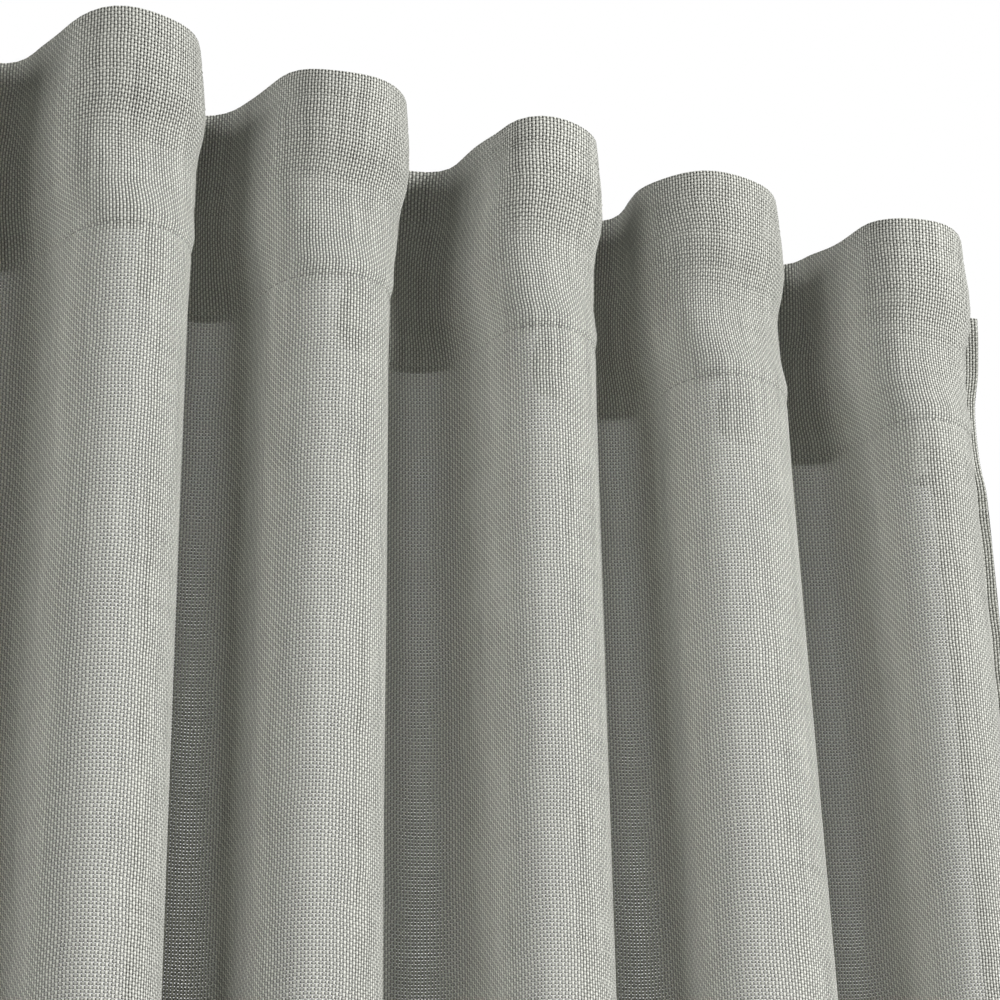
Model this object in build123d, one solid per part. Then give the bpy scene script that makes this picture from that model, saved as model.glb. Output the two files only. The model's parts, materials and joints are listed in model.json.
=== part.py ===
from build123d import *
from math import cos, pi, radians, sin
import os

# A ready-made curtain panel that hangs in regular ripples from a rod. The cloth is turned over at the top, so
# the heading is double, and a woven tape is sewn over the turnover at the back. Hidden loops of webbing on the
# tape, one behind each ripple, take the rod.
# Millimetres. X runs along the rod, +Y points to the window (the back of the curtain), +Z is up.
# The origin is on the rod's centre line, half way along the panel.

# --- driving dimensions: the panel as it is cut and sewn -----------------------------------------------------
FLAT_WIDTH = 1400.0       # finished width, laid flat
DROP = 2500.0             # finished length, top edge to foot
HEADING = 85.0            # top edge down to the seam at the base of the heading
BOTTOM_HEM = 80.0         # depth of the double hem at the foot
SIDE_HEM = 25.0           # width of each double side hem

# --- driving dimensions: the ripples -------------------------------------------------------------------------
FOLDS = 9                 # ripples in the panel
CREST_RADIUS = 21.8       # front of a ripple, to the middle of the cloth
TROUGH_RADIUS = 18.6      # back of a ripple
FLANK_ANGLE = radians(86)  # how far the cloth turns between the rod's line and a ripple's side
END_RETURN = 12.0         # cloth past the last loop at each side

# --- cloth, tape, cord and thread thicknesses ----------------------------------------------------------------
CLOTH = 0.6
TAPE = 0.9
CORD = 0.6
THREAD = 0.3
THREAD_WIDTH = 0.8
LABEL = 0.3

# --- heading tape and its cords, measured down from the top edge ---------------------------------------------
TOP_STITCH_DOWN = 11.0
TAPE_TOP_DOWN = 22.0
TAPE_STITCH_DOWN = 23.6
TURNOVER_TOO_DEEP = 2.0   # the turnover and the tape reach this far below the base seam
CORD_HEIGHT = 1.6
CORD_INSET = 3.0          # a cord's near edge from the tape's edge

# --- rod loops -----------------------------------------------------------------------------------------------
LOOP_WIDTH = 16.0         # along the rod
LOOP_THICK = 1.0
LOOP_HEIGHT = 35.5        # inside, top to bottom
LOOP_DEPTH = 27.8         # inside, front to back
LOOP_FLAT = 9.0           # sewn flat above and below the opening
LOOP_GAP = 0.3            # each loop stands this far off the tape, so that it can slide
TACK_LENGTH = 11.0
TACK_HEIGHT = 1.8
TACK_THICK = 0.5
TACK_FROM_OPENING = 5.0   # a bar tack's middle from the loop's opening

# --- care label ----------------------------------------------------------------------------------------------
LABEL_WIDTH = 32.0
LABEL_HEIGHT = 50.0
LABEL_ABOVE_FOOT = 130.0

# --- worked out: one ripple in plan --------------------------------------------------------------------------
HALF_FOLD_CLOTH = (FLAT_WIDTH - 2 * END_RETURN) / (2 * FOLDS)
FLANK = HALF_FOLD_CLOTH - (CREST_RADIUS + TROUGH_RADIUS) * FLANK_ANGLE
PITCH = 2 * ((CREST_RADIUS + TROUGH_RADIUS) * sin(FLANK_ANGLE) + FLANK * cos(FLANK_ANGLE))
DEPTH = (CREST_RADIUS + TROUGH_RADIUS) * (1 - cos(FLANK_ANGLE)) + FLANK * sin(FLANK_ANGLE)
END_ANGLE = END_RETURN / TROUGH_RADIUS

# --- worked out: the layers, as distances behind the middle of the face cloth ---------------------------------
FACE_FRONT = -CLOTH / 2
FACE_BACK = CLOTH / 2
TURNOVER_BACK = FACE_BACK + CLOTH
TAPE_BACK = TURNOVER_BACK + TAPE
HEM_BACK = FACE_BACK + 2 * CLOTH

# --- worked out: places in the frame -------------------------------------------------------------------------
LOOP_FRONT_Y = -LOOP_DEPTH / 2
TROUGH_Y = LOOP_FRONT_Y - LOOP_GAP - TAPE_BACK
CREST_Y = TROUGH_Y - DEPTH
CORD_ROOM = CORD_INSET + CORD_HEIGHT
TAPE_BOTTOM_DOWN = HEADING + TURNOVER_TOO_DEEP
OPENING_DOWN = (TAPE_TOP_DOWN + TAPE_BOTTOM_DOWN) / 2
TOP_Z = OPENING_DOWN
FOOT_Z = TOP_Z - DROP


def trough_x(k):
    """Where trough k is along the rod; trough 0 is at the left edge."""
    return (k - FOLDS / 2) * PITCH


def on_trough(k, angle, behind):
    """A point on trough k, turned by angle from straight back, at a distance behind the cloth's middle."""
    radius = TROUGH_RADIUS + behind
    return Vector(trough_x(k) + radius * sin(angle), TROUGH_Y - TROUGH_RADIUS + radius * cos(angle))


def on_crest(k, angle, behind):
    """A point on the crest after trough k, turned by angle from straight forward."""
    radius = CREST_RADIUS - behind
    x = trough_x(k) + PITCH / 2
    return Vector(x + radius * sin(angle), CREST_Y + CREST_RADIUS - radius * cos(angle))


def ripple_line(behind, end_angle=END_ANGLE):
    """The edges of the whole rippled line, left to right, at a distance behind the cloth's middle."""
    edges = []
    for k in range(FOLDS + 1):
        start = -end_angle if k == 0 else -FLANK_ANGLE
        end = end_angle if k == FOLDS else FLANK_ANGLE
        middle = (start + end) / 2
        points = [on_trough(k, angle, behind) for angle in (start, middle, end)]
        edges.append(ThreePointArc(*points))
        if k < FOLDS:
            crest = [on_crest(k, angle, behind) for angle in (-FLANK_ANGLE, 0, FLANK_ANGLE)]
            edges.append(Line(points[2], crest[0]))
            edges.append(ThreePointArc(*crest))
            edges.append(Line(crest[2], on_trough(k + 1, -FLANK_ANGLE, behind)))
    return edges


def ribbon(front, back, top_down, bottom_down, end_angle=END_ANGLE):
    """A rippled strip between two distances behind the cloth's middle, and two distances below the top edge."""
    near = ripple_line(front, end_angle)
    far = ripple_line(back, end_angle)
    sides = [
        Line(on_trough(0, -end_angle, front), on_trough(0, -end_angle, back)),
        Line(on_trough(FOLDS, end_angle, front), on_trough(FOLDS, end_angle, back)),
    ]
    face = make_face(near + far + sides)
    return standing(face, top_down, bottom_down)


def standing(face, top_down, bottom_down):
    """Extrude a plan face between two distances below the top edge."""
    low = TOP_Z - bottom_down
    return Pos(0, 0, low) * extrude(face, amount=bottom_down - top_down, dir=(0, 0, 1))


def trough_strip(k, start, end, front, back, top_down, bottom_down):
    """A strip of trough k between two angles, such as a side hem."""
    middle = (start + end) / 2
    near = ThreePointArc(*[on_trough(k, angle, front) for angle in (start, middle, end)])
    far = ThreePointArc(*[on_trough(k, angle, back) for angle in (start, middle, end)])
    sides = [
        Line(on_trough(k, start, front), on_trough(k, start, back)),
        Line(on_trough(k, end, front), on_trough(k, end, back)),
    ]
    return standing(make_face([near, far] + sides), top_down, bottom_down)


def thread_row(down):
    """One row of stitching across the front of the panel, centred at a distance below the top edge."""
    half = THREAD_WIDTH / 2
    return ribbon(FACE_FRONT - THREAD, FACE_FRONT, down - half, down + half)


def side_hem(k, side):
    """A double side hem below the heading; side is -1 at the left edge and 1 at the right."""
    edge = side * END_ANGLE
    inner = side * (END_RETURN - SIDE_HEM) / TROUGH_RADIUS
    low, high = min(edge, inner), max(edge, inner)
    return trough_strip(k, low, high, FACE_BACK, HEM_BACK, TAPE_BOTTOM_DOWN + 0.5, DROP - BOTTOM_HEM - 0.5)


def side_hem_stitches():
    """The two upright rows that hold the side hems, just inside the hems' inner edges."""
    rows = []
    from_edge = SIDE_HEM - 2
    half_angle = THREAD_WIDTH / 2 / TROUGH_RADIUS
    for k, side in ((0, -1), (FOLDS, 1)):
        middle = side * (END_RETURN - from_edge) / TROUGH_RADIUS
        rows.append(
            trough_strip(k, middle - half_angle, middle + half_angle, FACE_FRONT - THREAD, FACE_FRONT,
                         TAPE_BOTTOM_DOWN + 1, DROP - BOTTOM_HEM - 1)
        )
    return Compound(children=rows)


def box_between(low, high):
    """A box from its lowest corner to its highest."""
    size = [b - a for a, b in zip(low, high)]
    return Pos(*low) * Box(*size, align=(Align.MIN, Align.MIN, Align.MIN))


def loop_bow(height, depth, x):
    """A D-shaped bar along the rod: straight above and below, round at the back."""
    radius = height / 2
    straight = depth - radius
    half = LOOP_WIDTH / 2
    front = box_between((x - half, LOOP_FRONT_Y, -radius), (x + half, LOOP_FRONT_Y + straight, radius))
    round_back = Pos(x, LOOP_FRONT_Y + straight, 0) * Rot(0, 90, 0) * Cylinder(radius, LOOP_WIDTH)
    behind_tape = box_between((x - half, LOOP_FRONT_Y, -radius), (x + half, LOOP_FRONT_Y + depth, radius))
    return (front + round_back) & behind_tape


def rod_loop(k):
    """One loop: two sewn flats and the bow between them that the rod goes through."""
    x = trough_x(k)
    half = LOOP_WIDTH / 2
    opening = LOOP_HEIGHT / 2
    band = loop_bow(LOOP_HEIGHT + 2 * LOOP_THICK, LOOP_DEPTH + LOOP_THICK, x)
    flats = box_between(
        (x - half, LOOP_FRONT_Y, -opening - LOOP_FLAT),
        (x + half, LOOP_FRONT_Y + LOOP_THICK, opening + LOOP_FLAT),
    )
    return band + flats - loop_bow(LOOP_HEIGHT, LOOP_DEPTH, x)


def bar_tacks(k):
    """The two bar tacks that hold one loop, one on each flat."""
    x = trough_x(k)
    middle = LOOP_HEIGHT / 2 + TACK_FROM_OPENING
    back = LOOP_FRONT_Y + LOOP_THICK
    tacks = []
    for z in (-middle, middle):
        low = (x - TACK_LENGTH / 2, back, z - TACK_HEIGHT / 2)
        high = (x + TACK_LENGTH / 2, back + TACK_THICK, z + TACK_HEIGHT / 2)
        tacks.append(box_between(low, high))
    return Compound(children=tacks)


def care_label():
    """A blank woven label, sewn to the back of the left side hem."""
    x = trough_x(0)
    y = TROUGH_Y + HEM_BACK
    z = FOOT_Z + LABEL_ABOVE_FOOT
    return box_between((x, y, z), (x + LABEL_WIDTH, y + LABEL, z + LABEL_HEIGHT))


parts = {
    "face_cloth": ribbon(FACE_FRONT, FACE_BACK, 0, DROP),
    "heading_turnover": ribbon(FACE_BACK, TURNOVER_BACK, 0, TAPE_BOTTOM_DOWN),
    "heading_tape": ribbon(TURNOVER_BACK, TAPE_BACK, TAPE_TOP_DOWN, TAPE_BOTTOM_DOWN),
    "draw_cord_upper": ribbon(TAPE_BACK, TAPE_BACK + CORD, TAPE_TOP_DOWN + CORD_INSET, TAPE_TOP_DOWN + CORD_ROOM),
    "draw_cord_lower": ribbon(
        TAPE_BACK, TAPE_BACK + CORD, TAPE_BOTTOM_DOWN - CORD_ROOM, TAPE_BOTTOM_DOWN - CORD_INSET
    ),
    "left_side_hem": side_hem(0, -1),
    "right_side_hem": side_hem(FOLDS, 1),
    "bottom_hem": ribbon(FACE_BACK, HEM_BACK, DROP - BOTTOM_HEM, DROP),
    "top_stitching": thread_row(TOP_STITCH_DOWN),
    "tape_top_stitching": thread_row(TAPE_STITCH_DOWN),
    "heading_base_stitching": thread_row(HEADING),
    "bottom_hem_stitching": thread_row(DROP - BOTTOM_HEM + 2),
    "side_hem_stitching": side_hem_stitches(),
    "care_label": care_label(),
}
for number in range(FOLDS + 1):
    parts[f"rod_loop_{number + 1:02d}"] = rod_loop(number)
    parts[f"bar_tacks_{number + 1:02d}"] = bar_tacks(number)

os.makedirs("parts", exist_ok=True)
for node, shape in parts.items():
    export_step(shape, f"parts/{node}.step")

print(f"pitch {PITCH:.2f}, depth {DEPTH:.2f}, flank {FLANK:.2f}, hung width {FOLDS * PITCH:.1f}")
print(f"cloth per ripple {2 * HALF_FOLD_CLOTH:.1f}, fullness {2 * HALF_FOLD_CLOTH / PITCH:.2f}")
print(f"top {TOP_Z:.1f}, foot {FOOT_Z:.1f}, back of the tape {TROUGH_Y + TAPE_BACK:.2f}, nodes {len(parts)}")
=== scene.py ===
# %% [markdown]
# # A rippled curtain panel
# The CAD model gives the panel's size, its folds' pitch and depth, and where its hidden loops slide on the rod.
# It is loaded first and never moved. Every soft CAD solid is then replaced with a piece that looks like cloth,
# tape, webbing or thread, in the same place.

# %% Load the frame
import json
import math
import random

import bpy
import numpy as np
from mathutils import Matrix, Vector


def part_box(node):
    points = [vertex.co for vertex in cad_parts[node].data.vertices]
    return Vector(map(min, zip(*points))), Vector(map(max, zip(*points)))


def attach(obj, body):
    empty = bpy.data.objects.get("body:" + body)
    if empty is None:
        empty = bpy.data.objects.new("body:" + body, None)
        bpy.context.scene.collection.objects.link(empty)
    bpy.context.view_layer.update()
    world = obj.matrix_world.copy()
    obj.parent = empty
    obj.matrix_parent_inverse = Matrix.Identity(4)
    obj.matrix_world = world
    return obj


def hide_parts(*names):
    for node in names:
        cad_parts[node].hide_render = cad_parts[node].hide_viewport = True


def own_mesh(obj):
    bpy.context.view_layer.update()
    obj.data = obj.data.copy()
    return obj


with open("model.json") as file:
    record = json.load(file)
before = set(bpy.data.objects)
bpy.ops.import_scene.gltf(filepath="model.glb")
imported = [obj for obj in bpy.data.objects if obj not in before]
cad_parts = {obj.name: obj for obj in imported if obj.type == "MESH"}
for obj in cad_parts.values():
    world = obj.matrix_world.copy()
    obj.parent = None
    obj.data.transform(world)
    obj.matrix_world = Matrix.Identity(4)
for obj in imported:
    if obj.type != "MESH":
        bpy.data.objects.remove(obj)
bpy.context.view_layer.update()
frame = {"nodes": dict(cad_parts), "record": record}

# %% [markdown]
# ## Measures
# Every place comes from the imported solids: the loops say where the back of each fold is, the cloth says where
# the top edge and the foot are. Only what the solids can't say is given here, such as how much cloth is in a fold.

# %% Read the measures off the frame
MM = 0.001
FLAT_WIDTH = 1.400
DROP = 2.500
END_RETURN = 12 * MM        # cloth past the last loop at each side
BOTTOM_HEM = 80 * MM
SIDE_HEM = 25 * MM
TAPE_TOP = 22 * MM          # the tape's upper edge, below the top edge
HEADING = 85 * MM           # the seam at the base of the heading, below the top edge
TURNOVER = 87 * MM          # the lower edge of the turnover and of the tape
LAYERS = 1.8 * MM           # from the middle of the face cloth to the back of the tape

loop_names = sorted(name for name in frame["nodes"] if name.startswith("rod_loop_"))
loop_boxes = [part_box(name) for name in loop_names]
TROUGH_X = np.array([(low.x + high.x) / 2 for low, high in loop_boxes])
FOLDS = len(loop_names) - 1
PITCH = (TROUGH_X[-1] - TROUGH_X[0]) / FOLDS
cloth_low, cloth_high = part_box("face_cloth")
TOP = cloth_high.z
FOOT = cloth_low.z
TAPE_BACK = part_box("heading_tape")[1].y
TROUGH_Y = TAPE_BACK - LAYERS
FOLD_CLOTH = (FLAT_WIDTH - 2 * END_RETURN) / FOLDS
print(f"folds {FOLDS}, pitch {PITCH / MM:.1f} mm, cloth in a fold {FOLD_CLOTH / MM:.1f} mm")

# %% [markdown]
# ## The camera
# The panel is seen from below and from its left, through a long lens, so that the upright folds stay almost
# parallel. The camera comes first because everything else is judged through it.

# %% Place the camera
CAMERA_AZIMUTH = math.radians(26.8)
CAMERA_ELEVATION = math.radians(26.4)
CAMERA_LENS = 134.4
CAMERA_SHIFT = 0.089
FRONT_OF_TROUGH = 0.0267    # from the back of a fold to the middle of its depth
CAMERA_AWAY = (0.5789, 1.0518, 0.7388)      # left of, in front of and below the middle of the view
camera_data = bpy.data.cameras.new("camera")
camera_data.lens = CAMERA_LENS
camera_data.sensor_width = 36
camera_data.shift_x = CAMERA_SHIFT
camera_data.clip_start = 0.01
camera = bpy.data.objects.new("camera", camera_data)
bpy.context.scene.collection.objects.link(camera)
view_x = (TROUGH_X[6] + TROUGH_X[7]) / 2
view_y = TROUGH_Y - FRONT_OF_TROUGH
camera.location = (view_x - CAMERA_AWAY[0], view_y - CAMERA_AWAY[1], TOP - CAMERA_AWAY[2])
camera.rotation_euler = (math.pi / 2 + CAMERA_ELEVATION, 0, -CAMERA_AZIMUTH)
bpy.context.scene.camera = camera
print("camera at", [round(c, 3) for c in camera.location])

# %% [markdown]
# ## The line of the ripples
# Cloth can bend but hardly stretches, so its line seen from above is drawn the way cloth lies: walk along the
# cloth and turn. The cloth turns one way round the back of a fold, runs straight along the fold's side, and
# turns the other way round its front. Adding up the steps gives the line, and its length is right by itself.
# The turns differ a little from fold to fold and from the heading to the foot, as they do in a real curtain.

# %% Describe the folds
rng = random.Random(11)

# Each fold at the top edge and at the heading's seam, from left to right. "side" is how far the cloth turns, in
# degrees; "front" and "back" are the millimetres of cloth in half of its front and half of its back. The first
# list of each pair is for the left half of the folds, the second for the right half.
AT_TOP = {
    "side": ([86, 84, 88, 85, 86, 83, 89, 100, 86], [89, 88, 90, 92, 89, 91, 94, 90, 85]),
    "front": ([33, 28, 38, 30, 34, 33, 19, 45, 27], [30, 34, 28, 33, 36, 38, 31, 40, 26]),
    "back": ([20, 24, 18, 22, 20, 18, 23, 17, 12], [26, 24, 28, 25, 26, 25, 30, 29, 27]),
}
AT_SEAM = {
    "side": ([88, 86, 90, 87, 88, 89, 85, 96, 90], [87, 88, 86, 88, 87, 88, 87, 88, 86]),
    "front": ([34, 38, 30, 35, 33, 39, 28, 41, 28], [33, 28, 36, 30, 34, 26, 32, 41, 27]),
    "back": ([30, 28, 32, 29, 30, 28, 33, 31, 34], [29, 31, 27, 30, 29, 33, 30, 27, 29]),
}
LEAN_TOP = [3, 5, 2, 4, 7, 5, 4, 3, 3]          # how far the front leans to the right at the top edge, mm
LEAN_SEAM = [1, 0, -1, 2, 7, 0, 1, 0, -1]       # and on the seam
SHOULDER = [4, 3, 5, 4, 5, 5, 4, 4, 4]          # how far the right shoulder swells between them, mm
DRIFT = [-2, 2, -3, 1, -3, -3, 0, 3, 12, 8]     # where each back has gone a third of a metre down, mm
LOOP_FLAT = 7 * MM          # half the width of a back pressed flat against its loop
LOW_FRONT = 33 * MM         # half the cloth of a front lower down, where the folds grow alike


def ease(t):
    """Smooth step from 0 to 1."""
    t = np.clip(t, 0, 1)
    return t * t * (3 - 2 * t)


def wander(count, seed):
    """A smooth random line along the drop: a function from depth in metres to about -1..1, one per fold."""
    local = random.Random(seed)
    waves = [[(local.uniform(1.2, 4.2), local.uniform(0, 6.28), local.uniform(0.3, 0.6)) for _ in range(3)]
             for _ in range(count)]

    def at(k, depth):
        return sum(a * np.sin(f * depth + p) for f, p, a in waves[k])
    return at


sway = wander(FOLDS + 1, 3)
swell = wander(FOLDS + 1, 5)


def blend_of(key, half_side, fold, top):
    """One measure of every column at every depth, between its values at the top edge and at the seam."""
    left_top, right_top = np.array(AT_TOP[key][0]), np.array(AT_TOP[key][1])
    left_seam, right_seam = np.array(AT_SEAM[key][0]), np.array(AT_SEAM[key][1])
    at_top = np.where(half_side < 0, left_top[fold], right_top[fold])
    at_seam = np.where(half_side < 0, left_seam[fold], right_seam[fold])
    return at_seam[None, :] + (at_top - at_seam)[None, :] * top


def ripple_rows(depths, columns):
    """Middle line of the cloth at each depth below the top edge: x, y, and the turn of the cloth there."""
    s = np.linspace(0, FLAT_WIDTH, columns)
    along = (s - END_RETURN) / FOLD_CLOTH
    fold = np.clip(np.floor(along), 0, FOLDS - 1).astype(int)
    inside = along - fold
    half = np.abs(np.where(inside < 0.5, inside, 1 - inside) * FOLD_CLOTH)
    left = np.where(inside < 0.5, -1.0, 1.0)
    side = np.where(along < 0, 1.0, np.where(along > FOLDS, -1.0, left))
    depth = np.asarray(depths)[:, None]
    top = 1 - ease(depth / HEADING)
    below = ease((depth - HEADING) / 0.35)
    swelling = np.stack([swell(k, depth[:, 0]) for k in fold], 1)
    side_turn = np.radians(blend_of("side", left, fold, top)) * (1 + 0.03 * swelling * below)
    crest = blend_of("front", left, fold, top) * MM
    trough = blend_of("back", left, fold, top) * MM
    crest = crest + (LOW_FRONT - crest) * below * 0.6
    flat = LOOP_FLAT * np.exp(-((depth - TOP) / (21 * MM)) ** 4)
    rise = np.clip((half[None, :] - flat) / (trough - flat * 0.8), 0, 1)
    fall = (FOLD_CLOTH / 2 - half[None, :]) / crest
    square = np.exp(-((depth - 0.5 * HEADING) / (25 * MM)) ** 2)
    fall = np.clip(fall / (1 + 0.2 * square), 0, 1) ** (1 + 0.5 * square)
    turn = side[None, :] * side_turn * np.minimum(rise, fall)
    step = FLAT_WIDTH / (columns - 1)
    mid = (turn[:, 1:] + turn[:, :-1]) / 2
    zero = np.zeros((len(depths), 1))
    x = np.concatenate([zero, np.cumsum(np.cos(mid) * step, 1)], 1)
    y = np.concatenate([zero, np.cumsum(np.sin(mid) * step, 1)], 1)
    return s, settle(x, y, along, fold, depth), turn


def settle(x, y, along, fold, depth):
    """Moves each fold so that the backs of the folds are at the loops, and lets them stray lower down."""
    rows = x.shape[0]
    marks = np.arange(FOLDS + 1)
    at_x = np.stack([np.interp(marks, along, x[r]) for r in range(rows)])
    at_y = np.stack([np.interp(marks, along, y[r]) for r in range(rows)])
    free = ease((depth - 0.4) / 0.9)
    stray = np.stack([sway(k, depth[:, 0]) for k in marks], 1)
    drift = np.clip((depth - HEADING) / 0.28, 0, 1.25) * np.array(DRIFT)[None, :]
    to_x = TROUGH_X[None, :] + drift * MM + 6 * MM * free * stray
    to_y = TROUGH_Y - 2 * MM * ease((depth - HEADING) / 0.9) * (1 + stray)
    share = along[None, :] - fold[None, :]
    rows_index = np.arange(rows)[:, None]
    a, b = fold[None, :], fold[None, :] + 1
    scale = (to_x[rows_index, b] - to_x[rows_index, a]) / (at_x[rows_index, b] - at_x[rows_index, a])
    x = to_x[rows_index, a] + (x - at_x[rows_index, a]) * scale
    lift_a = to_y[rows_index, a] - at_y[rows_index, a]
    lift_b = to_y[rows_index, b] - at_y[rows_index, b]
    y = y + lift_a + (lift_b - lift_a) * share
    down = np.clip(depth / HEADING, 0, 1)
    lean = (np.array(LEAN_TOP)[fold][None, :] * (1 - down) + np.array(LEAN_SEAM)[fold][None, :] * down) * MM
    swell_out = np.interp(depth[:, 0], np.array([0, 0.4, 0.7, 0.88, 1.0, 1.3]) * HEADING, [0, 1, 0.95, 0.6, 0.1, 0])
    shoulder = np.array(SHOULDER)[fold][None, :] * MM * swell_out[:, None]
    inside = np.clip(share, 0, 1)
    x = x + lean * np.sin(math.pi * inside) ** 2 + shoulder * np.exp(-((inside - 0.66) / 0.15) ** 2)
    return x, y


# %% Try the line once and print what it measures
_, (_, try_y), _ = ripple_rows([0.0, HEADING, 1.0], 900)
for name, row in (("top edge", 0), ("heading seam", 1), ("one metre down", 2)):
    print(name, "depth of folds", round(float(np.ptp(try_y[row])) / MM, 1), "mm")

# %% [markdown]
# ## Sheets that follow the ripples
# Every layer of the panel is a sheet that follows the same line: the cloth, the tape behind it, the hems. A sheet
# is a grid of points. Each row has a depth below the top edge and a distance behind the face cloth, so a row can
# go over the top edge and down the back, and the cloth is one piece as the real one is. Its UV map is the cloth
# laid flat, in metres, which is what a weave needs.

# %% Build sheets and lines on the ripples
SEAMS = (11 * MM, 23.6 * MM, HEADING)


def seam_pull(depth):
    """How near a row is to a row of stitches: 1 on it, 0 a few millimetres away."""
    return max(math.exp(-((depth - seam) / (2.2 * MM)) ** 2) for seam in SEAMS)


def sunk(depth):
    """How far a row of stitches pulls the face cloth back. The base seam pulls most."""
    return 0.2 * MM * seam_pull(depth) + 0.45 * MM * math.exp(-((depth - HEADING) / (1.0 * MM)) ** 2)


def top_bumps(s):
    """How far the soft top edge stands above or below its line, along the cloth."""
    k = 6.3 * s / FOLD_CLOTH
    return MM * (0.9 * np.sin(k * 1.37 + 0.6) + 0.8 * np.sin(k * 2.21 + 2.0) + 0.5 * np.sin(k * 4.3))


def rippled_points(rows, columns):
    """Points of a rippled sheet, from rows of (depth below the top edge, distance behind the face)."""
    depths = [row[0] for row in rows]
    behind = np.array([row[1] for row in rows])[:, None]
    s, (x, y), turn = ripple_rows(depths, columns)
    depth = np.array(depths)[:, None]
    x = x - behind * np.sin(turn)
    y = y + behind * np.cos(turn)
    z = TOP - depth + top_bumps(s)[None, :] * np.exp(-depth / (28 * MM))
    return s, np.stack([x, y, z], 2)


def piece_of(name, mesh):
    """A mesh as a smooth piece in the scene."""
    mesh.polygons.foreach_set("use_smooth", [True] * len(mesh.polygons))
    piece = bpy.data.objects.new(name, mesh)
    bpy.context.scene.collection.objects.link(piece)
    return piece


def grid_mesh(name, grids, uv_s, uv_t):
    """One mesh from one or more grids of points, with a UV map in metres."""
    grids = [grids] if isinstance(grids, np.ndarray) else list(grids)
    rows, columns = grids[0].shape[:2]
    index = np.arange(rows * columns).reshape(rows, columns)
    quads = np.stack([index[:-1, :-1], index[1:, :-1], index[1:, 1:], index[:-1, 1:]], 2).reshape(-1, 4)
    quads = np.concatenate([quads + n * rows * columns for n in range(len(grids))])
    mesh = bpy.data.meshes.new(name)
    mesh.from_pydata(np.concatenate(grids).reshape(-1, 3).tolist(), [], quads.tolist())
    uv = np.stack([np.broadcast_to(np.asarray(uv_s), (rows, columns)),
                   np.broadcast_to(np.asarray(uv_t)[:, None], (rows, columns))], 2).reshape(-1, 2)
    uv = np.concatenate([uv] * len(grids))
    layer = mesh.uv_layers.new(name="cloth")
    layer.data.foreach_set("uv", uv[quads.reshape(-1)].reshape(-1).astype(np.float32))
    return piece_of(name, mesh)


def lengths_along(rows):
    """Running length of the cloth down its rows of (depth, behind)."""
    total, out = 0.0, [0.0]
    for (d0, b0), (d1, b1) in zip(rows, rows[1:]):
        total += math.hypot(d1 - d0, b1 - b0)
        out.append(total)
    return out


# %% [markdown]
# ## The cloth
# One length of cloth goes up the front, over the top edge, and down the back to the base seam, which makes the
# heading double and opaque. At the foot it turns up again for the hem. Rows are close together round the two
# turned edges and at the seams, and further apart down the plain drop. Each point is drawn twice, half a thread in
# front and half a thread behind, because an open weave's threads are thick compared with its holes: looked at
# slantwise, the back of the threads closes the holes, so only cloth that faces the eye shows what is behind it.

# %% Make the face cloth with its turnover and bottom hem
COLUMNS = 351
THREAD_THICK = 0.48 * MM    # between the cloth's two surfaces
APART = 1.1 * MM            # the turnover's distance behind the face, between the seams
TIGHT = 0.55 * MM           # and on a seam


def between(depth):
    """The turnover's distance behind the middle line of the cloth."""
    return sunk(depth) + TIGHT + (APART - TIGHT) * (1 - seam_pull(depth))


def turned_edge(depth, apart, up, steps=5):
    """Rows round a turned edge: up is 1 at the top and -1 at the foot."""
    angles = [math.pi * i / steps for i in range(1, steps)]
    return [(depth - up * apart / 2 * math.sin(a), apart / 2 * (1 + math.cos(a))) for a in angles]


def heading_depths(last):
    """Rows down the heading, closer together at the seams."""
    near = [seam + step * MM for seam in SEAMS for step in (-4, -2, -1, -0.4, 0.4, 1, 2, 4)]
    even = [d for d in np.linspace(1.5 * MM, last, 18) if min(abs(d - n) for n in near) > 1.4 * MM]
    return sorted({1.5 * MM, last} | set(even) | {n for n in near if n < last - 0.5 * MM})


turnover_rows = [(d, between(d)) for d in reversed(heading_depths(TURNOVER))]
face_rows = [(d, sunk(d)) for d in heading_depths(0.110)]
face_rows += [(d, 0.0) for d in np.linspace(0.125, 0.70, 28)]
face_rows += [(d, 0.0) for d in np.linspace(0.76, DROP - 2 * MM, 30)]
hem_rows = [(d, APART) for d in np.linspace(DROP - 2 * MM, DROP - BOTTOM_HEM, 4)]
top_edge = turned_edge(1.0 * MM, APART, 1)
foot_edge = [(d, b) for d, b in reversed(turned_edge(DROP - 1.5 * MM, APART, -1))]
cloth_rows = turnover_rows + top_edge + face_rows + foot_edge + hem_rows
s_line, cloth_points = rippled_points(cloth_rows, COLUMNS)


def both_surfaces(points, thick):
    """A sheet's points, moved half its thickness to each side."""
    down = np.gradient(points, axis=0)
    across = np.gradient(points, axis=1)
    normal = np.cross(across, down)
    normal /= np.linalg.norm(normal, axis=2)[:, :, None]
    return points + normal * thick / 2, points - normal * thick / 2


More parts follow.
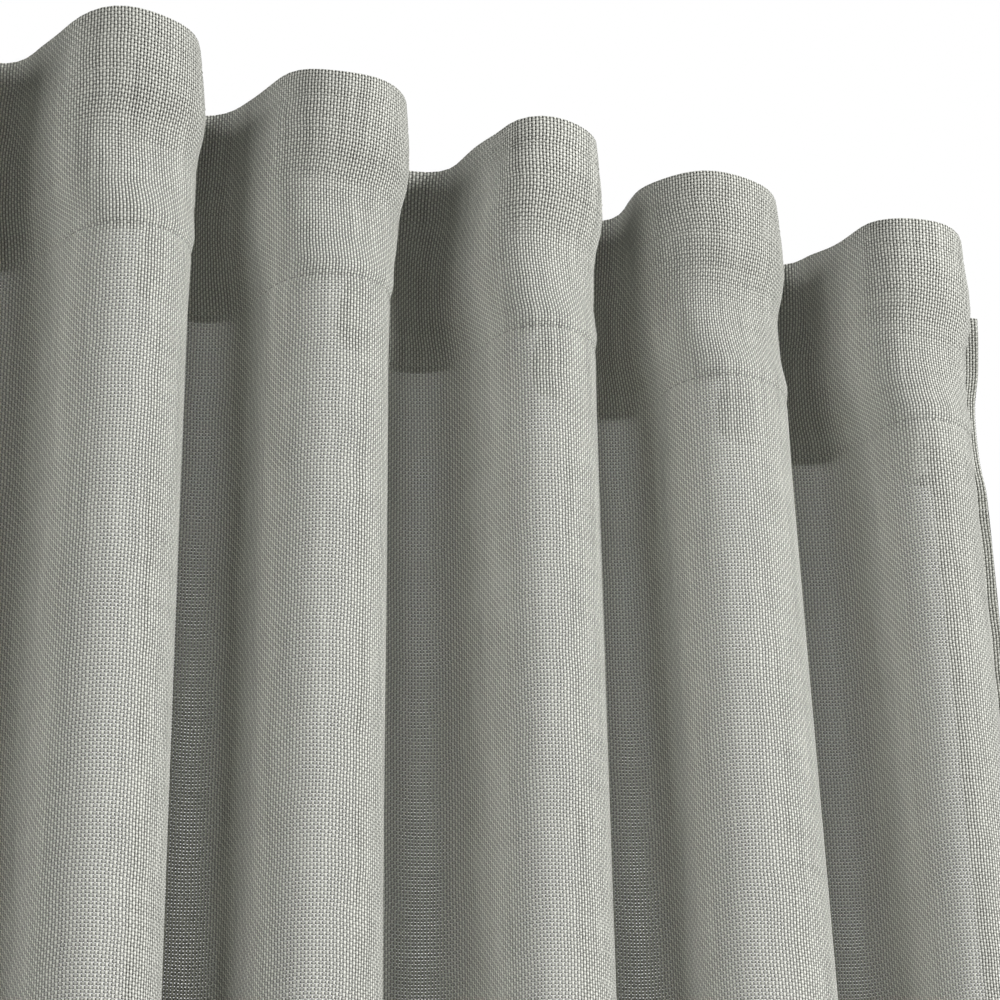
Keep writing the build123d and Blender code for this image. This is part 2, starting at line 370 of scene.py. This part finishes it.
# Where the cloth is double its two layers are drawn half a thread apart, so one layer's threads close the
# other's holes, as they mostly do when layers are pressed together.
length = np.array(lengths_along(cloth_rows))
row_depth = np.array([row[0] for row in cloth_rows])
edge, foot = int(row_depth.argmin()), int(row_depth.argmax())
length = np.abs(length - length[edge])
length[foot:] = 2 * length[foot] - length[foot:]
doubled = np.array([1.0] * len(turnover_rows) + [b / APART for _, b in top_edge] + [0.0] * len(face_rows)
                   + [b / APART for _, b in foot_edge] + [1.0] * len(hem_rows))
WARP = 1.12 * MM            # from one warp thread to the next
WEFT = 1.26 * MM            # and from one weft thread to the next
down_cloth = length + WEFT / 2 * doubled
across_cloth = s_line[None, :] + WARP / 2 * doubled[:, None]
face_cloth = grid_mesh("face_cloth_turned", both_surfaces(cloth_points, THREAD_THICK), across_cloth, down_cloth)
print("cloth", len(face_cloth.data.polygons), "faces")

# %% [markdown]
# ## Shader maths
# A weave is arithmetic on two numbers, so the numbers get ordinary operators. Each operator adds the Math node
# that does it.

# %% Wrap sockets so that expressions build nodes
class Value:
    """One number that varies over a surface."""

    def __init__(self, shader, socket):
        self.shader, self.socket = shader, socket

    def math(self, operation, *others):
        inputs = dict(enumerate((self,) + others))
        return self.shader.node("ShaderNodeMath", {"operation": operation}, inputs)["Value"]

    def __add__(self, other): return self.math("ADD", other)
    def __mul__(self, other): return self.math("MULTIPLY", other)
    def __sub__(self, other): return self.math("SUBTRACT", other)
    def __rsub__(self, other): return (self * -1) + other
    def __truediv__(self, other): return self.math("DIVIDE", other)
    def __lt__(self, other): return self.math("LESS_THAN", other)
    def __gt__(self, other): return self.math("GREATER_THAN", other)
    __radd__ = __add__
    __rmul__ = __mul__

    def floor(self): return self.math("FLOOR")
    def fraction(self): return self.math("FRACT")
    def cosine(self): return self.math("COSINE")
    def sine(self): return self.math("SINE")
    def root(self): return self.math("SQRT")
    def at_least(self, other): return self.math("MAXIMUM", other)
    def at_most(self, other): return self.math("MINIMUM", other)


class Outputs:
    """A node's outputs by name."""

    def __init__(self, shader, node):
        self.shader, self.node = shader, node

    def __getitem__(self, name):
        return Value(self.shader, self.node.outputs[name])


class Shader:
    """The nodes of a material, or of the world, being written."""

    def __init__(self, name, holder=None):
        self.material = holder or bpy.data.materials.new(name)
        self.material.use_nodes = True
        self.tree = self.material.node_tree
        self.tree.nodes.clear()

    def node(self, kind, settings=None, inputs=None):
        """Adds a node: its type, its settings, and the values or links of its sockets."""
        node = self.tree.nodes.new(kind)
        for key, value in (settings or {}).items():
            setattr(node, key, value)
        for key, value in (inputs or {}).items():
            if isinstance(value, Value):
                self.tree.links.new(value.socket, node.inputs[key])
            else:
                node.inputs[key].default_value = value
        return Outputs(self, node)

    def mix(self, factor, a, b):
        """Mixes two colours."""
        out = self.node("ShaderNodeMix", {"data_type": "RGBA"}, {0: factor, 6: a, 7: b})
        return Value(self, out.node.outputs[2])

    def noise(self, vector, scale, detail=2.0, rough=0.5):
        return self.node("ShaderNodeTexNoise", None,
                         {"Vector": vector, "Scale": scale, "Detail": detail, "Roughness": rough})["Fac"]

    def vector(self, x, y, z=0.0):
        return self.node("ShaderNodeCombineXYZ", None, {"X": x, "Y": y, "Z": z})["Vector"]

    def finish(self, surface):
        self.node("ShaderNodeOutputMaterial", None, {"Surface": surface})
        return self.material


# %% [markdown]
# ## The plain weave
# In a plain weave each warp thread goes over one weft and under the next, and its neighbour does the opposite.
# With the threads' spacing as the unit, a thread is a round bump whose middle rises and falls as a cosine. The
# higher of the two threads is the one that shows, and where there is neither the cloth has a hole. Slubs make
# some threads thicker along part of their length, and the lines wander a little, as linen does.

# %% Write the weave
def plain_weave(shader, warp, weft, warp_cover, weft_cover):
    """Height, hole mask, slubs and which thread is on top in a plain weave, from the flat cloth's UV map."""
    uv = shader.node("ShaderNodeUVMap", {"uv_map": "cloth"})["UV"]
    parts = shader.node("ShaderNodeSeparateXYZ", None, {"Vector": uv})
    across, down = parts["X"], parts["Y"]
    drift = shader.noise(uv, 60.0, 1.0)
    drift_down = shader.noise(shader.vector(down, across, 3.0), 45.0, 1.0)
    u = across / warp + (drift - 0.5) * 0.9
    v = down / weft + (drift_down - 0.5) * 0.9
    i, j = u.floor(), v.floor()
    du, dv = u.fraction() - 0.5, v.fraction() - 0.5
    slub_warp = shader.noise(shader.vector(i * 3.7, down * 28.0), 1.0, 2.0, 0.6)
    slub_weft = shader.noise(shader.vector(j * 3.3, across * 22.0, 5.0), 1.0, 2.0, 0.6)
    wide_warp = (slub_warp - 0.5) * 0.42 + warp_cover
    wide_weft = (slub_weft - 0.5) * 0.46 + weft_cover
    over = 1 - (i + j).math("PINGPONG", 1.0) * 2
    round_warp = 1 - (du * 2 / wide_warp).math("POWER", 2.0)
    round_weft = 1 - (dv * 2 / wide_weft).math("POWER", 2.0)
    warp_height = over * (dv * math.pi).cosine() * 0.5 + round_warp.at_least(0.0).root() * 0.55
    weft_height = over * (du * math.pi).cosine() * -0.5 + round_weft.at_least(0.0).root() * 0.55
    has_warp, has_weft = round_warp > 0.0, round_weft > 0.0
    low = -0.6
    height = (warp_height * has_warp + (1 - has_warp) * low).at_least(weft_height * has_weft + (1 - has_weft) * low)
    solid = has_warp.at_least(has_weft)
    warp_shows = warp_height * has_warp > weft_height * has_weft
    return height, solid, slub_warp, slub_weft, warp_shows, uv


def cloth_material(name, light, dark, translucent=0.10, warp_cover=0.65, weft_cover=0.61):
    shader = Shader(name)
    height, solid, slub_warp, slub_weft, warp_shows, uv = plain_weave(shader, WARP, WEFT, warp_cover, weft_cover)
    # Painted light: each thread's colour runs from lit at its crown to painted shade at its edges, and warp crowns
    # are painted lighter than weft crowns, as a side light would catch them. The slubs and patches are the linen's
    # own tone.
    raised = (height + 0.35) / 1.3
    patch = shader.noise(uv, 9.0, 3.0, 0.6)
    painted_light_and_mottle = raised * 1.4 + warp_shows * 0.5 + slub_warp * 0.25 + slub_weft * 0.25 + patch * 0.12
    painted_light_and_mottle = (painted_light_and_mottle - 1.0).at_least(0.0).at_most(1.0)
    colour = shader.mix(painted_light_and_mottle, dark, light)
    bump = shader.node("ShaderNodeBump", None, {"Height": height, "Distance": 0.42 * MM, "Strength": 1.0})["Normal"]
    surface = shader.node("ShaderNodeBsdfPrincipled", None, {
        "Base Color": colour, "Roughness": 0.85, "Normal": bump, "Specular IOR Level": 0.25,
        "Sheen Weight": 0.15, "Sheen Roughness": 0.6})["BSDF"]
    through = shader.node("ShaderNodeBsdfTranslucent", None, {"Color": colour})["BSDF"]
    body = shader.node("ShaderNodeMixShader", None, {0: translucent, 1: surface, 2: through})["Shader"]
    clear = shader.node("ShaderNodeBsdfTransparent")["BSDF"]
    return shader.finish(shader.node("ShaderNodeMixShader", None, {0: solid, 1: clear, 2: body})["Shader"])


# The cloth's lit and shaded colours: the dark one is painted shade at the threads' edges.
CLOTH_LIT_CROWN = (0.86, 0.865, 0.79, 1)
CLOTH_SHADED_EDGE = (0.075, 0.076, 0.068, 1)
cloth = cloth_material("sage linen weave", CLOTH_LIT_CROWN, CLOTH_SHADED_EDGE)
face_cloth.data.materials.append(cloth)


def hang(piece, slot, *nodes):
    """A sheet rides on the panel and stands for its CAD solids."""
    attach(piece, "panel")
    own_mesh(piece)
    if nodes:
        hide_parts(*nodes)
    return piece


hang(face_cloth, "cloth", "face_cloth", "heading_turnover", "bottom_hem")

# %% [markdown]
# ## The heading tape and its draw cords
# The tape is a dense off-white band, sewn over the turnover. Two cords run along it under little woven bars, so
# that the heading can be gathered by hand. The cords are round, so they are tubes swept along the ripples.

# %% Weave the tape
TAPE_BEHIND = 1.6 * MM
CORD_RADIUS = 0.6 * MM
CORD_END = 1.5 * MM         # how far inside the side edges the cords end; each knot is as far in again
CORD_DEPTHS = (TAPE_TOP + 3.8 * MM, TURNOVER - 3.8 * MM)


def tape_rib(depth):
    """The tape is a little thicker where it carries a cord."""
    return 0.35 * MM * max(math.exp(-((depth - cord) / (1.6 * MM)) ** 2) for cord in CORD_DEPTHS)


tape_rows = [(d, TAPE_BEHIND + tape_rib(d)) for d in np.linspace(TAPE_TOP, TURNOVER, 34)]
tape_s, tape_points = rippled_points(tape_rows, COLUMNS)
heading_tape = grid_mesh("heading_tape_woven", tape_points, tape_s, lengths_along(tape_rows))


def ribbed_material(name, light, dark, rib, pick, slant=0.0, roughness=0.8):
    """Narrow woven goods: ribs across, picks along, with a slant for twill."""
    shader = Shader(name)
    uv = shader.node("ShaderNodeUVMap", {"uv_map": "cloth"})["UV"]
    parts = shader.node("ShaderNodeSeparateXYZ", None, {"Vector": uv})
    across, down = parts["X"], parts["Y"]
    ribs = ((across + down * slant) * (2 * math.pi / rib)).sine()
    picks = ((down - across * slant) * (2 * math.pi / pick)).sine()
    soft = shader.noise(uv, 900.0, 2.0)
    height = ribs * 0.35 + picks * 0.35 + soft * 0.5
    # Painted shade: the colour darkens into the grooves between ribs and picks, where shade would fall; the soft
    # noise is the goods' own mottle.
    painted_light_and_mottle = (height * 0.5 + 0.45).at_least(0.0).at_most(1.0)
    colour = shader.mix(painted_light_and_mottle, dark, light)
    bump = shader.node("ShaderNodeBump", None, {"Height": height, "Distance": 0.15 * MM, "Strength": 0.7})["Normal"]
    surface = shader.node("ShaderNodeBsdfPrincipled", None, {
        "Base Color": colour, "Roughness": roughness, "Normal": bump, "Sheen Weight": 0.2})["BSDF"]
    return shader.finish(surface)


# The tape's lit and shaded colours: the dark one is painted shade in its grooves.
TAPE_LIT_RIB = (0.78, 0.765, 0.71, 1)
TAPE_SHADED_GROOVE = (0.50, 0.485, 0.44, 1)
tape_weave = ribbed_material("off-white tape weave", TAPE_LIT_RIB, TAPE_SHADED_GROOVE, 1.3 * MM, 0.9 * MM)
heading_tape.data.materials.append(tape_weave)
hang(heading_tape, "tape", "heading_tape")


# %% Sweep tubes
def tube_mesh(name, paths, radii, sides=8):
    """One mesh of closed tubes. paths are lists of points; radii gives each path's radius at every point."""
    verts, faces = [], []
    for path, radius in zip(paths, radii):
        path = np.asarray(path, float)
        tangent = np.gradient(path, axis=0)
        tangent /= np.linalg.norm(tangent, axis=1)[:, None]
        guide = np.array([0.0, 0.0, 1.0]) if abs(tangent[0][2]) < 0.9 else np.array([0.0, 1.0, 0.0])
        one = np.cross(tangent, guide)
        one /= np.linalg.norm(one, axis=1)[:, None]
        two = np.cross(tangent, one)
        base = len(verts)
        for p, a, b, r in zip(path, one, two, radius):
            for i in range(sides):
                t = 2 * math.pi * i / sides
                verts.append(p + r * (math.cos(t) * a + math.sin(t) * b))
        for ring in range(len(path) - 1):
            for i in range(sides):
                a0 = base + ring * sides + i
                a1 = base + ring * sides + (i + 1) % sides
                faces.append((a0, a1, a1 + sides, a0 + sides))
        faces.append(tuple(base + i for i in reversed(range(sides))))
        faces.append(tuple(base + (len(path) - 1) * sides + i for i in range(sides)))
    mesh = bpy.data.meshes.new(name)
    mesh.from_pydata([tuple(v) for v in verts], [], faces)
    return piece_of(name, mesh)


def line_across(depth, behind, columns=1800):
    """Cloth coordinate and points of one line across the panel."""
    s, points = rippled_points([(depth, behind)], columns)
    return s, points[0]


def at_cloth(line, positions):
    """Points of a line at the given cloth coordinates."""
    s, points = line
    return np.stack([np.interp(positions, s, points[:, axis]) for axis in range(3)], 1)


# %% Lay the draw cords in the tape
def plain_material(name, light, dark, scale, roughness=0.75):
    """Twisted or filament yarn: a fine mottled colour and bump from its own place."""
    shader = Shader(name)
    place = shader.node("ShaderNodeTexCoord")["Object"]
    fleck = shader.noise(place, scale, 3.0, 0.65)
    colour = shader.mix(fleck, dark, light)
    bump = shader.node("ShaderNodeBump", None, {"Height": fleck, "Distance": 0.2 * MM, "Strength": 0.6})["Normal"]
    surface = shader.node("ShaderNodeBsdfPrincipled", None, {
        "Base Color": colour, "Roughness": roughness, "Normal": bump, "Sheen Weight": 0.2})["BSDF"]
    return shader.finish(surface)


cord_yarn = plain_material("white cord yarn", (0.86, 0.85, 0.80, 1), (0.62, 0.60, 0.55, 1), 1800.0)
for name, depth in zip(("draw_cord_upper", "draw_cord_lower"), CORD_DEPTHS):
    line = line_across(depth, TAPE_BEHIND + 0.75 * MM)
    places = np.linspace(CORD_END, FLAT_WIDTH - CORD_END, 900)
    path = at_cloth(line, places)
    knots = sum(np.exp(-((places - knot) / MM) ** 2) for knot in (2 * CORD_END, FLAT_WIDTH - 2 * CORD_END))
    cord = tube_mesh(name + "_laid", [path], [CORD_RADIUS * (1 + 0.9 * knots)])
    cord.data.materials.append(cord_yarn)
    hang(cord, "cord", name)

bar_paths, bar_radii = [], []
for depth in CORD_DEPTHS:
    above = line_across(depth - 1.9 * MM, TAPE_BEHIND + 0.2 * MM)
    over = line_across(depth, TAPE_BEHIND + 1.5 * MM)
    under = line_across(depth + 1.9 * MM, TAPE_BEHIND + 0.2 * MM)
    places = np.arange(8 * MM, FLAT_WIDTH - 6 * MM, 11 * MM)
    for a, b, c in zip(at_cloth(above, places), at_cloth(over, places), at_cloth(under, places)):
        bar_paths.append([a, a * 0.35 + b * 0.65, b, c * 0.35 + b * 0.65, c])
        bar_radii.append([0.35 * MM] * 5)
cord_bars = tube_mesh("tape_cord_bars", bar_paths, bar_radii, 6)
cord_bars.data.materials.append(cord_yarn)
hang(cord_bars, "tape")
print("cord bars", len(bar_paths))

# %% [markdown]
# ## Hems at the sides
# Each side edge is turned twice and sewn. Behind an open cloth the hem shows as a denser band, so it is a sheet
# of its own: it starts on the face cloth's edge, turns round it and lies flat behind.

# %% Turn the side hems
HEM_TOP = TURNOVER + 1 * MM
hem_depths = list(np.linspace(HEM_TOP, 0.70, 70)) + list(np.linspace(0.74, DROP - BOTTOM_HEM - 1 * MM, 42))
hem_columns = int(round(SIDE_HEM / (FLAT_WIDTH / (COLUMNS - 1)))) + 1
for name, at_left in (("left_side_hem", True), ("right_side_hem", False)):
    _, wrap = rippled_points([(d, 0.05 * MM) for d in hem_depths], COLUMNS)
    flat_s, flat = rippled_points([(d, 0.75 * MM) for d in hem_depths], COLUMNS)
    if at_left:
        grid = np.concatenate([wrap[:, :1], flat[:, :hem_columns]], 1)
        across = np.concatenate([[0.0], flat_s[:hem_columns] + WARP / 2])
    else:
        grid = np.concatenate([flat[:, -hem_columns:], wrap[:, -1:]], 1)
        across = np.concatenate([flat_s[-hem_columns:] - WARP / 2, [FLAT_WIDTH]])
    down = np.interp(hem_depths, row_depth[edge:foot], length[edge:foot])
    hem = grid_mesh(name + "_turned", grid, across, down + WEFT / 2)
    hem.data.materials.append(cloth)
    hang(hem, "cloth", name)

# %% [markdown]
# ## Stitching
# A row of machine stitches is a line of short threads, each coming up out of the cloth and going back in. They
# are laid one by one on the ripples, a little sunk at both ends, in thread of the cloth's own colour. The base
# seam's thread is painted darker, as painted shade along its crease.

# %% Sew the rows
STITCH = 2.9 * MM
STITCH_GAP = 0.7 * MM
THREAD_RADIUS = 0.2 * MM
PROUD = np.array([-0.25, 0.12, 0.22, 0.12, -0.25]) * MM
TAPER = np.array([0.5, 1.0, 1.0, 1.0, 0.5])


def row_across(depth, behind, facing):
    """Stitches across the panel. facing is -1 for the front of the cloth and 1 for the back."""
    surface = line_across(depth, behind)
    raised = line_across(depth, behind + facing * MM)
    paths = []
    for start in np.arange(2 * MM, FLAT_WIDTH - 4 * MM, STITCH + STITCH_GAP):
        places = np.linspace(start, start + STITCH, 5)
        here, out = at_cloth(surface, places), at_cloth(raised, places)
        paths.append(here + (out - here) * (PROUD / MM)[:, None])
    return paths


def row_down(s_place, behind, facing, first, last):
    """Stitches down the panel at one cloth coordinate."""
    depths = np.linspace(first, last, 500)
    s, near = rippled_points([(d, behind) for d in depths], 700)
    s, far = rippled_points([(d, behind + facing * MM) for d in depths], 700)
    column = int(np.argmin(abs(s - s_place)))
    near, far = near[:, column], far[:, column]
    paths = []
    for start in np.arange(first, last - STITCH, STITCH + STITCH_GAP):
        places = np.linspace(start, start + STITCH, 5)
        here = np.stack([np.interp(places, depths, near[:, axis]) for axis in range(3)], 1)
        out = np.stack([np.interp(places, depths, far[:, axis]) for axis in range(3)], 1)
        paths.append(here + (out - here) * (PROUD / MM)[:, None])
    return paths


def sew(name, paths, thread):
    piece = tube_mesh(name, paths, [THREAD_RADIUS * TAPER] * len(paths), 5)
    piece.data.materials.append(thread)
    return piece


sewing_thread = plain_material("sage sewing thread", (0.58, 0.585, 0.53, 1), (0.36, 0.363, 0.33, 1), 2500.0, 0.6)
# The base seam's thread is the sage thread painted darker: painted shade along the seam's crease.
shaded_seam_thread = plain_material("sage sewing thread in painted shade", (0.34, 0.343, 0.31, 1), (0.17, 0.172, 0.155, 1), 2500.0, 0.6)
rows = {
    "top_stitching": row_across(SEAMS[0], sunk(SEAMS[0]), -1) + row_across(SEAMS[0], between(SEAMS[0]), 1),
    "tape_top_stitching": row_across(SEAMS[1], sunk(SEAMS[1]), -1) + row_across(SEAMS[1], TAPE_BEHIND, 1),
    "heading_base_stitching": row_across(HEADING, sunk(HEADING), -1) + row_across(HEADING, TAPE_BEHIND, 1),
    "bottom_hem_stitching": row_across(DROP - BOTTOM_HEM + 2 * MM, 0.0, -1),
    "side_hem_stitching": row_down(SIDE_HEM - 2 * MM, 0.0, -1, HEM_TOP, DROP - BOTTOM_HEM)
    + row_down(FLAT_WIDTH - SIDE_HEM + 2 * MM, 0.0, -1, HEM_TOP, DROP - BOTTOM_HEM),
}
for name, paths in rows.items():
    thread = shaded_seam_thread if name == "heading_base_stitching" else sewing_thread
    hang(sew(name + "_thread", paths, thread), "thread", name)
    print(name, len(paths), "stitches")

# %% [markdown]
# ## The hidden loops
# Each loop is a strip of webbing with both ends sewn flat to the tape and a bow between them that the rod goes
# through. The strip is drawn as its line seen from the side, then given its width and thickness. Each loop rides
# on its own body, because it slides along the rod by itself.

# %% Bend the webbing
LOOP_WIDTH = 16 * MM
LOOP_THICK = 0.9 * MM


def loop_line(low, high):
    """Side view of one loop, from its lower end to its upper end: points (y, z) along the webbing's middle."""
    front = low.y + LOOP_THICK / 2
    middle = (low.z + high.z) / 2
    radius = (high.y - low.y - LOOP_THICK) / 2 + 2.6 * MM
    centre_y = high.y - LOOP_THICK / 2 - radius
    flat = 8.2 * MM
    points = [(front, low.z + flat * t) for t in np.linspace(0.04, 1, 6)]
    start = math.asin(min(1.0, 17.2 * MM / radius))
    foot = (front, low.z + flat)
    neck = (centre_y - radius * math.cos(start) * -0.15, middle - radius * 0.99)
    for t in np.linspace(0.15, 0.85, 5):
        points.append(((1 - t) * foot[0] + t * neck[0], (1 - ease(t)) * foot[1] + ease(t) * neck[1]))
    for angle in np.linspace(-math.pi / 2 + 0.15, math.pi / 2 - 0.15, 19):
        points.append((centre_y + radius * math.cos(angle), middle + radius * math.sin(angle)))
    half = points[: 6 + 5]
    points += [(y, 2 * middle - z) for y, z in reversed(half)]
    return np.array(points)


def webbing_strip(name, line, x, twist):
    """A strip of webbing along a side-view line, with rounded long edges, as one closed mesh with a UV map."""
    tangent = np.gradient(line, axis=0)
    tangent /= np.linalg.norm(tangent, axis=1)[:, None]
    normal = np.stack([tangent[:, 1], -tangent[:, 0]], 1)
    half = LOOP_WIDTH / 2
    section = [(-half, 0.0), (-half + 0.35 * MM, 0.5), (-half + 3 * MM, 0.5), (0.0, 0.42), (half - 3 * MM, 0.5),
               (half - 0.35 * MM, 0.5), (half, 0.0), (half - 0.35 * MM, -0.5), (half - 3 * MM, -0.5), (0.0, -0.42),
               (-half + 3 * MM, -0.5), (-half + 0.35 * MM, -0.5)]
    run = np.concatenate([[0], np.cumsum(np.linalg.norm(np.diff(line, axis=0), axis=1))])
    share = np.linspace(0, 1, len(line))
    bow = np.sin(math.pi * share) ** 2
    verts, uvs, faces = [], [], []
    for p, n, length, lean in zip(line, normal, run, bow * twist):
        for across, out in section:
            y, z = p + n * out * LOOP_THICK
            verts.append((x + across + lean, y, z))
            uvs.append((across, length))
    count = len(section)
    for ring in range(len(line) - 1):
        for i in range(count):
            a, b = ring * count + i, ring * count + (i + 1) % count
            faces.append((a, b, b + count, a + count))
    faces.append(tuple(reversed(range(count))))
    faces.append(tuple(range((len(line) - 1) * count, len(line) * count)))
    mesh = bpy.data.meshes.new(name)
    mesh.from_pydata(verts, [], faces)
    layer = mesh.uv_layers.new(name="cloth")
    for loop in mesh.loops:
        layer.data[loop.index].uv = uvs[loop.vertex_index]
    return piece_of(name, mesh)


# The webbing's darker colour is painted shade in its twill grooves.
webbing = ribbed_material("sage webbing", (0.76, 0.764, 0.70, 1), (0.50, 0.504, 0.46, 1), 1.1 * MM, 1.0 * MM, 0.6)
body_of_node = {node: body for body, nodes in frame["record"]["behaviour"]["bodies"].items() for node in nodes}
for name, (low, high) in zip(loop_names, loop_boxes):
    twist = rng.uniform(-0.8, 0.8) * MM
    strip = webbing_strip(name + "_webbing", loop_line(low, high), (low.x + high.x) / 2, twist)
    strip.data.materials.append(webbing)
    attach(strip, body_of_node[name])
    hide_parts(name)

# %% Sew the bar tacks
for name in sorted(node for node in frame["nodes"] if node.startswith("bar_tacks_")):
    low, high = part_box(name)
    paths = []
    for z_middle in (low.z + 0.9 * MM, high.z - 0.9 * MM):
        for i in range(15):
            x = low.x + (high.x - low.x) * (i + 0.5) / 15
            lean = 0.25 * MM * (-1) ** i
            z = np.linspace(-0.9, 0.9, 5) * MM
            y = low.y - 0.15 * MM + PROUD * 0.9
            paths.append(np.stack([x + lean * z / MM, y, z_middle + z], 1))
    tack = tube_mesh(name + "_thread", paths, [0.24 * MM * TAPER] * len(paths), 5)
    tack.data.materials.append(cord_yarn)
    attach(tack, body_of_node[name])
    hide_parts(name)
print("loops", len(loop_names))

# %% [markdown]
# ## The care label
# A blank satin label hangs from the left side hem near the foot. It is a small sheet with a gentle curl.

# %% Sew on the label
low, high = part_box("care_label")
label_rows, label_columns = 16, 12
u, v = np.meshgrid(np.linspace(0, 1, label_columns), np.linspace(0, 1, label_rows))
label_points = np.stack([low.x + (high.x - low.x) * u,
                         low.y + 0.2 * MM + 3 * MM * u ** 2 * (0.4 + 0.6 * v) + 0.6 * MM * np.sin(5 * v) * u,
                         high.z - (high.z - low.z) * v], 2)
label = grid_mesh("care_label_blank", label_points, np.linspace(0, high.x - low.x, label_columns),
                  np.linspace(0, high.z - low.z, label_rows))
# The label's darker colour is painted shade in its fine ribs.
label.data.materials.append(ribbed_material("white label satin", (0.88, 0.88, 0.86, 1), (0.74, 0.74, 0.72, 1),
                                            0.35 * MM, 0.5 * MM, 0.0, 0.45))
hang(label, "label", "care_label")

# %% [markdown]
# ## Light and stage
# A large soft light stands to the right and in front, so the fronts of the folds are bright and their left sides
# fall into shade. A weaker one on the left models those sides, and one behind keeps the back readable.
# The studio around is dim, so that the shade stays deep, but it looks white to the camera.

# %% Light the studio
scene = bpy.context.scene
scene.view_settings.view_transform = "Standard"
scene.world = bpy.data.worlds.new("studio")
air = Shader("studio", scene.world)
seen = air.node("ShaderNodeLightPath")["Is Camera Ray"]
dim = air.node("ShaderNodeBackground", None, {"Color": (0.97, 0.98, 1.0, 1), "Strength": 0.034})["Background"]
white = air.node("ShaderNodeBackground", None, {"Color": (1, 1, 1, 1), "Strength": 1.0})["Background"]
air.node("ShaderNodeOutputWorld", None, {
    "Surface": air.node("ShaderNodeMixShader", None, {0: seen, 1: dim, 2: white})["Shader"]})


def soft_light(name, place, target, size, power):
    data = bpy.data.lights.new(name, "AREA")
    data.energy = power
    data.size = size
    lamp = bpy.data.objects.new(name, data)
    scene.collection.objects.link(lamp)
    lamp.location = place
    lamp.rotation_euler = (Vector(target) - Vector(place)).to_track_quat("-Z", "Y").to_euler()


LIGHTS = {      # place, size in metres, power in watts
    "key": ((2.30, -2.25, 0.78), 1.3, 142),
    "second": ((-2.54, -1.58, 0.40), 1.3, 50),
    "behind": ((0.63, 2.41, 1.96), 1.6, 32),
}
LIT_PLACE = (0.2, 0, -0.1)
for name, (place, size, power) in LIGHTS.items():
    soft_light(name, place, LIT_PLACE, size, power)
print("lights", len(LIGHTS))

FLOOR_GAP = 12 * MM         # between the foot and the floor
FLOOR_HALF = 6.0
floor_z = FOOT - FLOOR_GAP
corners = [(x * FLOOR_HALF, y * FLOOR_HALF, floor_z) for x, y in ((-1, -1), (1, -1), (1, 1), (-1, 1))]
floor_mesh = bpy.data.meshes.new("floor")
floor_mesh.from_pydata(corners, [], [(0, 1, 2, 3)])
floor = bpy.data.objects.new("floor", floor_mesh)
scene.collection.objects.link(floor)
paint = Shader("pale floor")
grain = paint.noise(paint.node("ShaderNodeTexCoord")["Object"], 3.0, 2.0)
floor_mesh.materials.append(paint.finish(paint.node("ShaderNodeBsdfPrincipled", None, {
    "Base Color": paint.mix(grain, (0.80, 0.80, 0.79, 1), (0.83, 0.83, 0.82, 1)), "Roughness": 0.7})["BSDF"]))
